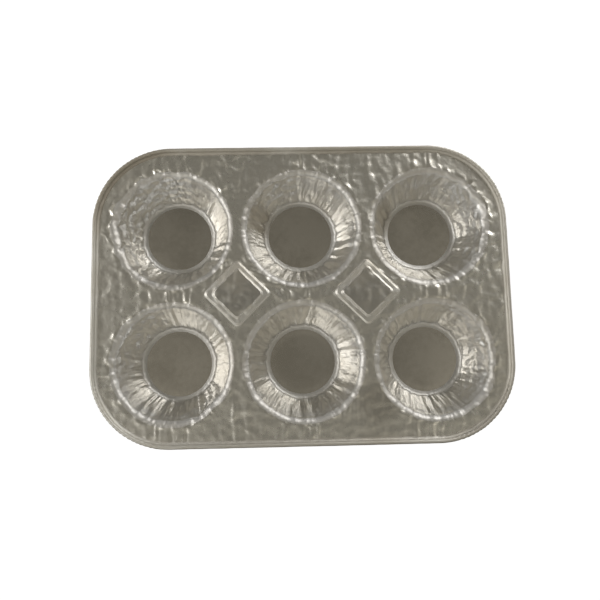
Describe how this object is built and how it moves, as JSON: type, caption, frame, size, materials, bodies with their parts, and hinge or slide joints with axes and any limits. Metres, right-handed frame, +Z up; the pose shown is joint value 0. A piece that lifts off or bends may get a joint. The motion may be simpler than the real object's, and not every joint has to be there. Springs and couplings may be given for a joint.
{
  "type": "foil muffin pan",
  "caption": "Rectangular aluminium foil pan with round corners, a curled rim, crimped conical muffin cups with flat floors, and raised square bosses between the cups.",
  "frame": {"origin": "under the middle of the pan, on the plane that the cup floors stand on", "axes": "+X along the pan's length, +Y across it towards the back row of cups, +Z up out of the cups"},
  "size_m": [0.264, 0.19, 0.0326],
  "materials": {
    "curl_foil": "bare foil, rolled, with small puckers at the corners",
    "step_foil": "bare foil, bright at the crease",
    "deck_foil": "bare foil, satin, with flow wrinkles",
    "boss_foil": "bare foil, smooth",
    "crimped_foil": "bare foil, finely crimped and glinting",
    "floor_foil": "bare foil, smooth and even"
  },
  "bodies": {
    "root": {"rim_curl": "curl_foil", "rim_step": "step_foil", "deck": "deck_foil", "boss_left": "boss_foil", "boss_right": "boss_foil", "cup_wall_front_left": "crimped_foil", "cup_wall_front_middle": "crimped_foil", "cup_wall_front_right": "crimped_foil", "cup_wall_back_left": "crimped_foil", "cup_wall_back_middle": "crimped_foil", "cup_wall_back_right": "crimped_foil", "cup_floor_front_left": "floor_foil", "cup_floor_front_middle": "floor_foil", "cup_floor_front_right": "floor_foil", "cup_floor_back_left": "floor_foil", "cup_floor_back_middle": "floor_foil", "cup_floor_back_right": "floor_foil"}
  },
  "joints": []
}
